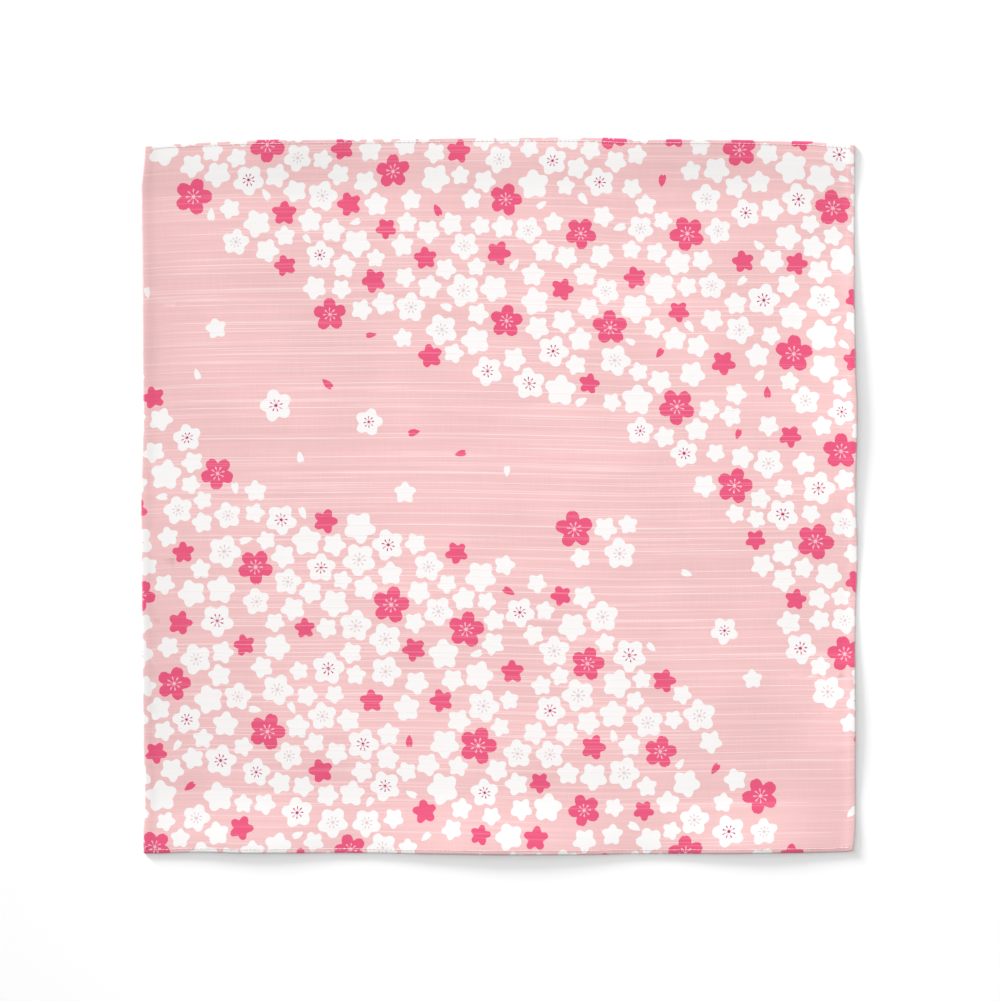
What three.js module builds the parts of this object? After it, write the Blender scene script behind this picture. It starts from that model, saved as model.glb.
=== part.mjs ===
import * as THREE from "three";

// A furoshiki: a square wrapping cloth of slub cotton, opened out and laid flat, right side up.
// The cloth is used at the full width of the loom, so its left and right edges are selvedges.
// The near and far edges are cut, turned under twice and stitched down as narrow hems.
// Millimetres. +X runs from selvedge to selvedge, +Y from the near hem to the far one, +Z up.
// The origin is on the surface that the cloth lies on, under the middle of the cloth's box.

// Driving dimensions
const WIDTH = 500; // from selvedge to selvedge
const LENGTH = 504; // from hem to hem at mid width
const CLOTH_THICK = 1.0; // one layer, with the slack it keeps when it's laid by hand
const HEM_WIDTH = 4.5;
const HEM_THICK = 1.8; // three layers, pressed and stitched
const HEM_EDGE_ROUND = 0.6; // the fold at the hem's edge is rounded over this
const HEM_STEP_RUN = 0.2; // the turned layers end under the hem over this
const HEM_RUN_OUT = 9; // from the edge to where the cloth is back down on the surface
const SELVEDGE_WIDTH = 5;
const SELVEDGE_THICK = 1.2; // woven firmer than the field
const SELVEDGE_ROUND = 0.5;
const SELVEDGE_RUN_OUT = 6.5;
const EDGE_ROUND_DROP = 0.4; // how much of the thickness the roundings take off each face
const FAR_EDGE_BOW = 4.2; // how far the far hem's ends lie nearer than its middle
const EASING_LINES = [15, 28]; // mesh lines between an edge's section and the field
const FIELD_STEP = 20; // spacing of the mesh lines over the flat field

// How far each edge lies outside its straight or bowed line, at shares of the way along it.
// Left and right are read from the near hem to the far one, near and far from left to right.
const EDGE_WANDER = [
  { along: 0.0, left: 0.0, right: -0.6, near: 0.0, far: -1.8 },
  { along: 0.03, left: 0.4, right: 0.8, near: -0.1, far: -0.8 },
  { along: 0.07, left: -1.0, right: 1.0, near: -1.2, far: -0.5 },
  { along: 0.15, left: 0.2, right: 1.0, near: -0.2, far: 0.2 },
  { along: 0.3, left: 1.0, right: 0.7, near: -0.4, far: -0.5 },
  { along: 0.43, left: 1.5, right: 2.6, near: 0.3, far: -0.3 },
  { along: 0.5, left: 2.0, right: 1.0, near: 0.8, far: 0.2 },
  { along: 0.62, left: 0.1, right: 2.2, near: 0.9, far: 0.6 },
  { along: 0.69, left: 0.7, right: 0.9, near: 0.2, far: -0.7 },
  { along: 0.8, left: 0.8, right: 0.2, near: 0.1, far: 0.0 },
  { along: 0.94, left: 1.7, right: 0.4, near: -0.6, far: 0.4 },
  { along: 0.985, left: -0.5, right: 0.5, near: -1.0, far: -0.5 },
  { along: 1.0, left: -0.9, right: 0.3, near: -1.9, far: -0.9 },
];

// Where the rim stands a little off the surface: the middle of the lifted stretch and half its
// length along the edge, its rise at the edge, and how far in from the edge it dies out.
const RIM_LIFTS = [
  { side: "right", middle: 96, half: 92, rise: 1.9, inward: 42 },
  { side: "right", middle: 322, half: 150, rise: 2.4, inward: 56 },
  { side: "near", middle: 78, half: 74, rise: 1.5, inward: 34 },
  { side: "near", middle: 252, half: 118, rise: 2.2, inward: 50 },
  { side: "near", middle: 430, half: 80, rise: 1.7, inward: 44 },
  { side: "left", middle: 168, half: 104, rise: 0.9, inward: 30 },
  { side: "left", middle: 402, half: 86, rise: 1.1, inward: 32 },
  { side: "far", middle: 112, half: 96, rise: 1.0, inward: 30 },
  { side: "far", middle: 372, half: 104, rise: 1.3, inward: 36 },
];

// The section across a hem, from the edge inward: heights of the underside and the right side.
// Behind the turned layers the single layer comes down to the surface.
const HEM_SECTION = [
  { from: 0, under: EDGE_ROUND_DROP, over: HEM_THICK - EDGE_ROUND_DROP },
  { from: HEM_EDGE_ROUND, under: 0, over: HEM_THICK },
  { from: HEM_WIDTH, under: 0, over: HEM_THICK },
  { from: HEM_WIDTH + HEM_STEP_RUN, under: HEM_THICK - CLOTH_THICK, over: HEM_THICK },
  { from: HEM_RUN_OUT, under: 0, over: CLOTH_THICK },
];

// The section across a selvedge, from the edge inward.
const SELVEDGE_SECTION = [
  { from: 0, under: EDGE_ROUND_DROP, over: SELVEDGE_THICK - EDGE_ROUND_DROP },
  { from: SELVEDGE_ROUND, under: 0, over: SELVEDGE_THICK },
  { from: SELVEDGE_WIDTH, under: 0, over: SELVEDGE_THICK },
  { from: SELVEDGE_RUN_OUT, under: 0, over: CLOTH_THICK },
];

// The rows of a table on both sides of a place, and how far between them the place is.
function between(table, key, place) {
  const found = table.findIndex((row) => row[key] >= place);
  const after = found < 0 ? table.length - 1 : Math.max(found, 1);
  const [low, high] = [table[after - 1], table[after]];
  const share = (place - low[key]) / (high[key] - low[key]);
  return { low, high, share: THREE.MathUtils.clamp(share, 0, 1) };
}

// A curve through the wander table that is level at each of its rows.
function wander(edge, along) {
  const { low, high, share } = between(EDGE_WANDER, "along", along);
  return THREE.MathUtils.lerp(low[edge], high[edge], THREE.MathUtils.smoothstep(share, 0, 1));
}

function sectionAt(section, from) {
  const { low, high, share } = between(section, "from", from);
  return {
    under: THREE.MathUtils.lerp(low.under, high.under, share),
    over: THREE.MathUtils.lerp(low.over, high.over, share),
  };
}

// How far the rim lifts the cloth off the surface, which is nothing over the field.
function lift(x, y) {
  const inward = { left: x, right: WIDTH - x, near: y, far: LENGTH - y };
  const along = { left: y, right: y, near: x, far: x };
  let height = 0;
  for (const stretch of RIM_LIFTS) {
    const off = Math.abs(along[stretch.side] - stretch.middle) / stretch.half;
    const depth = inward[stretch.side] / stretch.inward;
    if (off < 1 && depth < 1) {
      height += stretch.rise * Math.cos((off * Math.PI) / 2) ** 2 * (1 - depth) ** 2;
    }
  }
  return height;
}

// Both faces of the cloth at a point of its straight cut: right side first, underside second.
function facesAt(x, y) {
  const across = x / WIDTH;
  const along = y / LENGTH;
  const left = -wander("left", along);
  const right = WIDTH + wander("right", along);
  const near = -wander("near", across);
  const bow = FAR_EDGE_BOW * (2 * across - 1) ** 2;
  const far = LENGTH - bow + wander("far", across);
  const planX = THREE.MathUtils.lerp(left, right, across);
  const planY = THREE.MathUtils.lerp(near, far, along);

  const hem = sectionAt(HEM_SECTION, Math.min(y, LENGTH - y));
  const selvedge = sectionAt(SELVEDGE_SECTION, Math.min(x, WIDTH - x));
  const surface = lift(x, y);
  const over = surface + hem.over + selvedge.over - CLOTH_THICK;
  const under = surface + Math.max(hem.under, selvedge.under);
  return [new THREE.Vector3(planX, planY, over), new THREE.Vector3(planX, planY, under)];
}

// Mesh lines from one edge to the other: close together across an edge's section, then even.
function meshLines(section, size) {
  const edge = [...section.map((row) => row.from), ...EASING_LINES];
  const start = edge[edge.length - 1];
  const steps = Math.ceil((size - 2 * start) / FIELD_STEP);
  const fieldLine = (_, i) => THREE.MathUtils.lerp(start, size - start, (i + 1) / steps);
  const field = Array.from({ length: steps - 1 }, fieldLine);
  const farEdge = edge.map((from) => size - from).reverse();
  return [...edge, ...field, ...farEdge];
}

// One closed sheet: a grid for the right side, a grid for the underside, and the rim between.
function makeSheet() {
  const columns = meshLines(SELVEDGE_SECTION, WIDTH);
  const rows = meshLines(HEM_SECTION, LENGTH);
  const points = rows.flatMap((y) => columns.flatMap((x) => facesAt(x, y)));
  const OVER = 0;
  const UNDER = 1;
  const at = (column, row, face) => 2 * (row * columns.length + column) + face;
  const triangles = [];
  const quad = (a, b, c, d) => triangles.push(a, b, c, a, c, d);
  const wall = (from, to) => {
    quad(at(...from, UNDER), at(...to, UNDER), at(...to, OVER), at(...from, OVER));
  };

  const lastColumn = columns.length - 1;
  const lastRow = rows.length - 1;
  for (let row = 0; row < lastRow; row++) {
    for (let column = 0; column < lastColumn; column++) {
      const around = [
        [column, row],
        [column + 1, row],
        [column + 1, row + 1],
        [column, row + 1],
      ];
      quad(...around.map(([c, r]) => at(c, r, OVER)));
      quad(...around.map(([c, r]) => at(c, r, UNDER)).reverse());
    }
    wall([lastColumn, row], [lastColumn, row + 1]);
    wall([0, row + 1], [0, row]);
  }
  for (let column = 0; column < lastColumn; column++) {
    wall([column, 0], [column + 1, 0]);
    wall([column + 1, lastRow], [column, lastRow]);
  }

  const geometry = new THREE.BufferGeometry().setFromPoints(points);
  geometry.setIndex(triangles);
  geometry.computeVertexNormals();
  geometry.computeBoundingBox();
  return geometry;
}

const cotton = new THREE.MeshStandardMaterial({ color: 0xf4c8ca, roughness: 0.9, metalness: 0 });
const cloth = new THREE.Mesh(makeSheet(), cotton);
cloth.name = "cloth";
const box = cloth.geometry.boundingBox;
const middle = box.getCenter(new THREE.Vector3());
cloth.position.set(-middle.x, -middle.y, -box.min.z);

const furoshiki = new THREE.Group();
furoshiki.add(cloth);

export default furoshiki;
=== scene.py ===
# %% [markdown]
# A furoshiki is a square cloth for wrapping and carrying things. This one is slub cotton, printed on
# its right side with white and crimson blossoms on pink, and it lies opened out with the print up.
# The first step loads the plain solid of the cloth, which is the frame of this scene. Sizes below
# are read from it or worked out from it, so the dressed cloth can't drift away from the solid.

# %% Load the frame
import math

import bpy
import numpy as np
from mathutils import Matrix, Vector
from mathutils.bvhtree import BVHTree
from mathutils.geometry import delaunay_2d_cdt


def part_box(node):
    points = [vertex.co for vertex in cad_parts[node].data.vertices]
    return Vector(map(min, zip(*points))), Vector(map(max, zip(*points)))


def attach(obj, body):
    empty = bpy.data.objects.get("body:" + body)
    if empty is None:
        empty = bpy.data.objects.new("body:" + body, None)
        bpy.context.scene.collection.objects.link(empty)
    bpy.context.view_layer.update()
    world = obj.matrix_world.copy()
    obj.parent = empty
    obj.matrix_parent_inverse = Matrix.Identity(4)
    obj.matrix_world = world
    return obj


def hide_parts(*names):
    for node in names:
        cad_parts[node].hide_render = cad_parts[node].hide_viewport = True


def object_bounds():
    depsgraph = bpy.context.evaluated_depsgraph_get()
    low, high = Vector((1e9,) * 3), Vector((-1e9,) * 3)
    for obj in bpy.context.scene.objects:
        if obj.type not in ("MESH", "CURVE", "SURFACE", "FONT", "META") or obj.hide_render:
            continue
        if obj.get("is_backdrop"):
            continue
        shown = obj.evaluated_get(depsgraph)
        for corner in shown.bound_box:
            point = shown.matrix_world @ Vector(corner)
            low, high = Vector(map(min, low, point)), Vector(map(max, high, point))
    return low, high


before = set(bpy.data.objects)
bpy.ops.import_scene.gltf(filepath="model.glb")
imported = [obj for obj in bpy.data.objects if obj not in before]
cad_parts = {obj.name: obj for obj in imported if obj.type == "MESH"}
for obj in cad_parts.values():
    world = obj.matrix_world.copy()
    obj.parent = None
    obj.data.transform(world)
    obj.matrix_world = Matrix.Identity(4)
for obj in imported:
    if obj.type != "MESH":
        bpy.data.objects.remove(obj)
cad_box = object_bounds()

MM = 0.001
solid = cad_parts["cloth"]
low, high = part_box("cloth")
print("solid, mm:", [round(side / MM, 1) for side in high - low])

# %% [markdown]
# A laid cloth is best looked at from straight above, through a long lens that keeps its edges
# parallel. A lens could be set by eye. Here it follows from how much floor the picture shows.
# The cloth lies a little above the middle of the picture, so the camera stands a little below it.

# %% Camera
PICTURE_SIDE_PX = 1001
MM_PER_PX = 0.704
CLOTH_MIDDLE_PX = (499.2, 495.7)
CAMERA_HEIGHT = 2.6
SENSOR_MM = 36

shown_width = PICTURE_SIDE_PX * MM_PER_PX * MM
camera_data = bpy.data.cameras.new("camera")
camera_data.sensor_width = SENSOR_MM
camera_data.lens = SENSOR_MM * CAMERA_HEIGHT / shown_width
camera = bpy.data.objects.new("camera", camera_data)
aim_x = (PICTURE_SIDE_PX / 2 - CLOTH_MIDDLE_PX[0]) * MM_PER_PX * MM
aim_y = (CLOTH_MIDDLE_PX[1] - PICTURE_SIDE_PX / 2) * MM_PER_PX * MM
camera.location = (aim_x, aim_y, CAMERA_HEIGHT)
bpy.context.scene.collection.objects.link(camera)
bpy.context.scene.camera = camera
print(f"lens {camera_data.lens:.0f} mm shows {shown_width / MM:.0f} mm of floor")

# %% [markdown]
# Hand-laid cloth has no straight edge. The outline could be drawn again from numbers, but then two
# files would hold it. Instead a vertical ray is dropped on the solid again and again, each time
# halving the step between a place on the cloth and one past it, until the edge is found.

# %% Feel for the outline
SIDE_STATIONS = 81
HALVINGS = 18
FIRST_CORNER, CORNERS_APART = 45, 90
SURELY_INSIDE, SURELY_OUTSIDE = 0.2, 0.4
CLEAR_OF_CLOTH = 0.05
CORNER_SEARCH = np.radians(np.linspace(-2, 2, 201))
DOWN = Vector((0, 0, -1))
UP = Vector((0, 0, 1))
solid_tree = BVHTree.FromPolygons(
    [v.co for v in solid.data.vertices], [tuple(p.vertices) for p in solid.data.polygons]
)


def rim_point(toward_x, toward_y):
    """The last place on the solid in a direction from the middle of its box."""
    way = Vector((toward_x, toward_y, 0)).normalized()
    inside, outside = SURELY_INSIDE, SURELY_OUTSIDE
    for _ in range(HALVINGS):
        tried = (inside + outside) / 2
        above = way * tried + UP * CLEAR_OF_CLOTH
        if solid_tree.ray_cast(above, DOWN)[0] is None:
            outside = tried
        else:
            inside = tried
    return way * inside


def corner(quarter):
    """The point of the rim that lies farthest out in a quarter of the cloth."""
    angles = math.radians(FIRST_CORNER + CORNERS_APART * quarter) + CORNER_SEARCH
    points = [rim_point(math.cos(angle), math.sin(angle)) for angle in angles]
    return max(points, key=lambda p: p.length)


def side(start, stop):
    """Points of the rim from one corner to the next."""
    shares = np.linspace(0, 1, SIDE_STATIONS)
    chord = [start.lerp(stop, share) for share in shares]
    return np.array([rim_point(p.x, p.y)[:2] for p in chord])


far_right, far_left, near_left, near_right = [corner(quarter) for quarter in range(4)]
left_side, right_side = side(near_left, far_left), side(near_right, far_right)
near_side, far_side = side(near_left, near_right), side(far_left, far_right)
for name, points in (("left", left_side), ("right", right_side)):
    print(name, "edge wanders", round(np.ptp(points[:, 0]) / MM, 1), "mm")
for name, points in (("near", near_side), ("far", far_side)):
    print(name, "edge wanders", round(np.ptp(points[:, 1]) / MM, 1), "mm")

# %% [markdown]
# A cloth is cut with straight edges, and the wander comes from how it is laid. So each piece below
# is made on a straight cut, in millimetres, and one function lays it out between the felt edges.
# The same idea serves any cloth: model it where it is simple, then place it.

# %% Lay the straight cut between the edges
WIDTH = 500
LENGTH = 504


def along_side(points, axis, share):
    """Where a side lies across its own run, at shares of the way along it."""
    run = points[:, 1 - axis]
    return np.interp(share, (run - run[0]) / (run[-1] - run[0]), points[:, axis])


def lay_out(across, along):
    """Places on the floor, in metres, of places on the straight cut, in millimetres."""
    across_share = across / WIDTH
    along_share = along / LENGTH
    left = along_side(left_side, 0, along_share)
    right = along_side(right_side, 0, along_share)
    near = along_side(near_side, 1, across_share)
    far = along_side(far_side, 1, across_share)
    return left + (right - left) * across_share, near + (far - near) * along_share


# %% [markdown]
# The rim of the cloth doesn't lie quite flat: it lifts off the floor in long soft waves. The height
# is felt from below on a net of places, which leaves out the strip where the hem's own thickness
# lifts the underside. Averaging each place with its neighbours takes the solid's facets out.

# %% Feel how the rim lifts
HEM_WIDTH = 4.5
NET_STEP = 10
NET_EDGE = [HEM_WIDTH / 2, NET_STEP]
SMOOTHINGS = 2


def net_lines(size):
    """Where the lines of the net lie across a side, closer together at both ends."""
    start, stop = 2 * NET_STEP, size - 2 * NET_STEP
    inner = np.linspace(start, stop, int((stop - start) / NET_STEP) + 1)
    return np.concatenate((NET_EDGE, inner, size - np.array(NET_EDGE[::-1])))


net_across, net_along = net_lines(WIDTH), net_lines(LENGTH)
net_lift = np.zeros((len(net_along), len(net_across)))
for row, along in enumerate(net_along):
    floor_x, floor_y = lay_out(net_across, along)
    for column, (x, y) in enumerate(zip(floor_x, floor_y)):
        hit = solid_tree.ray_cast(Vector((x, y, -CLEAR_OF_CLOTH)), UP)[0]
        net_lift[row, column] = max(hit.z, 0.0) / MM


def smoothed(heights):
    """Each row of heights averaged with the rows before and after it."""
    padded = np.pad(heights, ((1, 1), (0, 0)), mode="edge")
    return (padded[:-2] + 2 * padded[1:-1] + padded[2:]) / 4


for _ in range(SMOOTHINGS):
    net_lift = smoothed(smoothed(net_lift).T).T


def lift_at(across, along):
    """How far the cloth is lifted off the floor, in millimetres, between the net's places."""
    column = np.clip(np.searchsorted(net_across, across) - 1, 0, len(net_across) - 2)
    row = np.clip(np.searchsorted(net_along, along) - 1, 0, len(net_along) - 2)
    left, right = net_across[column], net_across[column + 1]
    near, far = net_along[row], net_along[row + 1]
    right_share = np.clip((across - left) / (right - left), 0, 1)
    far_share = np.clip((along - near) / (far - near), 0, 1)
    near_lift = net_lift[row, column] * (1 - right_share) + net_lift[row, column + 1] * right_share
    far_lift = (
        net_lift[row + 1, column] * (1 - right_share) + net_lift[row + 1, column + 1] * right_share
    )
    return near_lift * (1 - far_share) + far_lift * far_share


print(f"the rim lifts up to {net_lift.max():.1f} mm")

# %% [markdown]
# The near and far edges are turned under twice, so that the raw edge is shut inside. On a real hem
# one layer runs through all of it: inside the fold, round the inner turn, along the underside, round
# the edge and back over the top. That run is drawn here once, as seen from the end of the hem. The
# layer's height and its distance from the edge then come from how far along the run a thread lies.

# %% The run of the cloth through a hem
CLOTH_THICK = 0.34
LAYER_GAP = 0.05
REST_GAP = 0.1
UNDER_LAYER = REST_GAP + CLOTH_THICK / 2
INNER_LAYER = UNDER_LAYER + CLOTH_THICK + LAYER_GAP
TOP_LAYER = INNER_LAYER + CLOTH_THICK + LAYER_GAP
FIELD_LAYER = REST_GAP + CLOTH_THICK / 2
TURN_RADIUS = (INNER_LAYER - UNDER_LAYER) / 2
EDGE_RADIUS = (TOP_LAYER - UNDER_LAYER) / 2
RAW_EDGE = 1.4
STITCH_LINE = 2.7
GROOVE_HALF_WIDTH = 0.6
GROOVE_DEPTH = 0.04
RUN_OUT = 44.0
RUN_END = 56.0
ARC_STEPS = 6
SLOPE_STEPS = 9


def half_turn(centre_out, low_height, radius, outward):
    """A half circle from the upper layer down to the lower one, or back up, bulging one way."""
    angles = np.linspace(-math.pi / 2, math.pi / 2, ARC_STEPS + 1)
    bulge = np.cos(angles) * radius * outward
    return np.column_stack((centre_out + bulge, low_height + radius + np.sin(angles) * radius))


inner_turn = half_turn(HEM_WIDTH - TURN_RADIUS - CLOTH_THICK / 2, UNDER_LAYER, TURN_RADIUS, 1)[::-1]
edge_turn = half_turn(EDGE_RADIUS + CLOTH_THICK / 2, UNDER_LAYER, EDGE_RADIUS, -1)
slope_share = np.linspace(0, 1, SLOPE_STEPS + 1)
slope_drop = slope_share**2 * (3 - 2 * slope_share)
slope = np.column_stack(
    (
        HEM_WIDTH + (RUN_OUT - HEM_WIDTH) * slope_share,
        TOP_LAYER + (FIELD_LAYER - TOP_LAYER) * slope_drop,
    )
)
groove = [
    [STITCH_LINE - GROOVE_HALF_WIDTH, TOP_LAYER],
    [STITCH_LINE, TOP_LAYER - GROOVE_DEPTH],
    [STITCH_LINE + GROOVE_HALF_WIDTH, TOP_LAYER],
]
hem_run = np.vstack(
    ([[RAW_EDGE, INNER_LAYER]], inner_turn, edge_turn, groove, slope, [[RUN_END, FIELD_LAYER]])
)
hem_steps = np.hypot(*np.diff(hem_run, axis=0).T)
hem_places = np.concatenate(([0], np.cumsum(hem_steps)))
HEM_RUN = hem_places[-1]
CUT_LENGTH = LENGTH - 2 * RUN_END + 2 * HEM_RUN
print(f"the cloth was cut {CUT_LENGTH:.1f} mm long before hemming")


def hem_section(place):
    """Distance from the edge, height and right-side direction at places along the cut."""
    out = np.interp(place, hem_places, hem_run[:, 0])
    height = np.interp(place, hem_places, hem_run[:, 1])
    slopes = np.gradient(hem_run, hem_places, axis=0)
    run_out = np.interp(place, hem_places, slopes[:, 0])
    run_up = np.interp(place, hem_places, slopes[:, 1])
    size = np.hypot(run_out, run_up)
    return out, height, -run_up / size, run_out / size


def cloth_point(across, place, off):
    """The place in space, in metres, of a point of the cut, off its mid surface by so much."""
    from_far = place > CUT_LENGTH / 2
    nearest = np.where(from_far, CUT_LENGTH - place, place)
    out, height, face_out, face_up = hem_section(nearest)
    out = np.where(nearest > HEM_RUN, nearest - HEM_RUN + RUN_END, out)
    out = out + face_out * off
    along = np.where(from_far, LENGTH - out, out)
    floor_x, floor_y = lay_out(across, along)
    lifted = lift_at(across, along) + height + face_up * off
    return np.column_stack((floor_x, floor_y, lifted * MM))


# %% [markdown]
# The print is a scatter of blossoms in drifts, with a bare stream winding between them. Each blossom
# has five petals. A petal is drawn as two circles with straight flanks between them: one circle at
# the heart and one at the tip. A big heart gives a plump star, a small one gives petals like clubs.
# One formula gives how far a blossom reaches in any direction. The material draws the same shape.

# %% The shape of a blossom
PETALS = 5
NEARLY_NONE = 1e-6


def blossom_reach(angle, heart, tip):
    """How far a blossom of radius 1 reaches at angles from the middle of a petal."""
    petal = 2 * math.pi / PETALS
    folded = np.abs((angle / petal + 0.5) % 1 * petal - petal / 2)
    cos, sin = np.cos(folded), np.sin(folded)
    tip_at = 1 - tip
    lean = (heart - tip) / tip_at
    upright = np.sqrt(1 - lean**2)
    flank = heart / np.maximum(upright * sin + lean * cos, NEARLY_NONE)
    past_flank = flank * (upright * cos - lean * sin) > upright * tip_at
    in_tip = tip_at * cos + np.sqrt(np.maximum(tip**2 - (tip_at * sin) ** 2, 0))
    return np.maximum(np.where(past_flank, in_tip, flank), heart)


# %% [markdown]
# Where the blossoms go is one question and how they fit is another. The kinds and their numbers are
# one short table, in which a loose petal takes the room of a circle. A winding stream says which
# parts of the cloth stay bare, and a small island of blossoms lies in it.

# %% Kinds of blossom, and the bare stream
KIND_KEYS = "count", "least", "most", "heart", "tip", "notch", "crimson", "stamens", "petal"
BLOSSOM_KINDS = {
    "large crimson": (34, 11.2, 13.4, 0.39, 0.35, 0.05, 1, 1.0, 0),
    "small crimson": (51, 7.3, 8.9, 0.52, 0.30, 0.0, 1, 0.0, 0),
    "crimson petal": (14, 3.8, 4.8, 0.99, 0.99, 0.0, 1, 0.0, 1),
    "white, dark stamens": (38, 9.5, 11.9, 0.62, 0.34, 0.03, 0, 1.0, 0),
    "white, pale stamens": (60, 9.3, 11.9, 0.62, 0.34, 0.03, 0, 0.4, 0),
    "large white": (60, 9.1, 11.5, 0.64, 0.32, 0.02, 0, 0.0, 0),
    "small white": (252, 6.7, 8.7, 0.64, 0.29, 0.0, 0, 0.0, 0),
    "white petal": (36, 3.8, 5.0, 0.99, 0.99, 0.0, 0, 0.0, 1),
}
STREAM_TURN = math.radians(-37)
STREAM_SWING, SWING_LENGTH, SWING_START = 36, 88, 0.5
STREAM_HALF_WIDTH = 54
WIDTH_CHANGE, CHANGE_LENGTH, CHANGE_START = 14, 118, 2.2
ISLAND_X, ISLAND_Y, ISLAND_RADIUS = 322, 232, 24


def depth_in_drift(x, y):
    """How far a place lies inside a drift of blossoms, below 0 where the cloth stays bare."""
    from_middle_x, from_middle_y = x - WIDTH / 2, y - CUT_LENGTH / 2
    down = from_middle_x * math.cos(STREAM_TURN) + from_middle_y * math.sin(STREAM_TURN)
    off = from_middle_y * math.cos(STREAM_TURN) - from_middle_x * math.sin(STREAM_TURN)
    bend = STREAM_SWING * np.sin(down / SWING_LENGTH + SWING_START)
    widening = WIDTH_CHANGE * np.sin(down / CHANGE_LENGTH + CHANGE_START)
    half_width = STREAM_HALF_WIDTH + widening
    in_island = ISLAND_RADIUS - np.hypot(x - ISLAND_X, y - ISLAND_Y)
    return np.maximum(np.abs(off - bend) - half_width, in_island)


# %% [markdown]
# Blossoms strewn at random overlap and leave holes. Here each one takes the best of some random
# places, the one farthest from all those before it. Then every pair that is too close pushes apart,
# many times over, which evens the gaps. Seeded random numbers make the same print on every run.

# %% Strew the blossoms
SEED = 11
OVERHANG = 7
PLACES_DRAWN, PLACES_TRIED = 192, 24
INSIDE_DRIFT = 2
ANY_DEPTH = 1000
PUSH_STEPS = 220
PUSH_SHARE = 0.3
DRIFT_PULL = 0.6
SQUEEZE = 0.92
EVEN_GAP = 1.6
STRAYS = ("white, dark stamens", "white petal", "small white", "white petal", "crimson petal") * 3
STRAY_ROOM = 26
random = np.random.default_rng(SEED)


def distances(places, others):
    """How far each of some places is from each of some others."""
    return np.hypot(*(places[:, None] - others[None]).transpose(2, 0, 1))


def best_place(taken, least_depth, most_depth):
    """Of some random places at a depth in the drifts, the one farthest from those taken."""
    spread = (-OVERHANG, 0), (WIDTH + OVERHANG, CUT_LENGTH)
    places = random.uniform(*spread, (PLACES_DRAWN, 2))
    depth = depth_in_drift(*places.T)
    places = places[(depth > least_depth) & (depth < most_depth)][:PLACES_TRIED]
    return places[distances(places, taken).min(axis=1).argmax()]


def push_apart(places, radii):
    """Moves circles until they keep an even gap and stay in the drifts."""
    for _ in range(PUSH_STEPS):
        apart = places[:, None] - places[None]
        distance = np.hypot(apart[..., 0], apart[..., 1])
        np.fill_diagonal(distance, np.inf)
        wanted = SQUEEZE * (radii[:, None] + radii[None]) + EVEN_GAP
        push = np.clip(wanted - distance, 0, None) / distance
        places += PUSH_SHARE * (apart * push[..., None]).sum(axis=1)
        depth = depth_in_drift(*places.T)
        for axis, ahead in enumerate(np.eye(2)):
            deeper = depth_in_drift(*(places + ahead).T) - depth
            places[:, axis] += np.where(depth < 0, np.sign(deeper) * DRIFT_PULL, 0)
        places[:] = np.clip(places, -OVERHANG, (WIDTH + OVERHANG, CUT_LENGTH + OVERHANG))


kinds = [dict(zip(KIND_KEYS, row)) for row in BLOSSOM_KINDS.values()]
strewn = [kind for kind in kinds for _ in range(kind["count"])]
places = np.full((1, 2), -float(ANY_DEPTH))
for kind in strewn:
    places = np.vstack((places, best_place(places, INSIDE_DRIFT, ANY_DEPTH)))
places = places[1:]
radii = np.array([random.uniform(kind["least"], kind["most"]) for kind in strewn])
push_apart(places, radii)
for name in STRAYS:
    kind = dict(zip(KIND_KEYS, BLOSSOM_KINDS[name]))
    place = best_place(places, -ANY_DEPTH, -STRAY_ROOM / 2)
    if distances(place[None], places).min() > STRAY_ROOM:
        strewn.append(kind)
        places = np.vstack((places, place))
        radii = np.append(radii, random.uniform(kind["least"], kind["most"]))
print(len(strewn), "blossoms and petals strewn")

# %% [markdown]
# A round blossom could be fitted as a disc, but then the gaps between petals stay wide. Here each
# blossom is tried at several turns against its neighbours' real outlines, and keeps the turn with
# the most room, so that petals slip into dents. What still crowds its neighbours shrinks a little.

# %% Turn and fit the blossoms
LEAST_GAP = 1.0
TURNS_TRIED = 8
SHRINK_ROUNDS = 8
SHRINK_SHARE = 0.6
ROOM_STEPS = 25
hearts = np.array([kind["heart"] for kind in strewn])
tips = np.array([kind["tip"] for kind in strewn])
turns = random.uniform(0, 2 * math.pi, len(strewn))


def outlines(which, steps, margin=0.0):
    """Points round some blossoms, in millimetres of the cut: blossom, point, across and along."""
    angles = np.linspace(0, 2 * math.pi, steps, endpoint=False)[None]
    reach = blossom_reach(angles, hearts[which, None], tips[which, None])
    reach = radii[which, None] * reach + margin
    turned = angles + turns[which, None]
    ring = np.stack((reach * np.cos(turned), reach * np.sin(turned)), axis=-1)
    return places[which, None] + ring


def gap_to(points, which):
    """The smallest gap from some points to the outlines of some blossoms."""
    off = points - places[which, None]
    angle = np.arctan2(off[..., 1], off[..., 0]) - turns[which, None]
    reach = blossom_reach(angle, hearts[which, None], tips[which, None])
    return (np.hypot(off[..., 0], off[..., 1]) - radii[which, None] * reach).min()


def room_round(one):
    """The smallest gap between a blossom and those near it, looked at from both sides."""
    near = neighbours[one]
    if not len(near):
        return math.inf
    own = outlines([one], ROOM_STEPS)
    return min(gap_to(own, near), gap_to(outlines(near, ROOM_STEPS).reshape(1, -1, 2), [one]))


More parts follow.
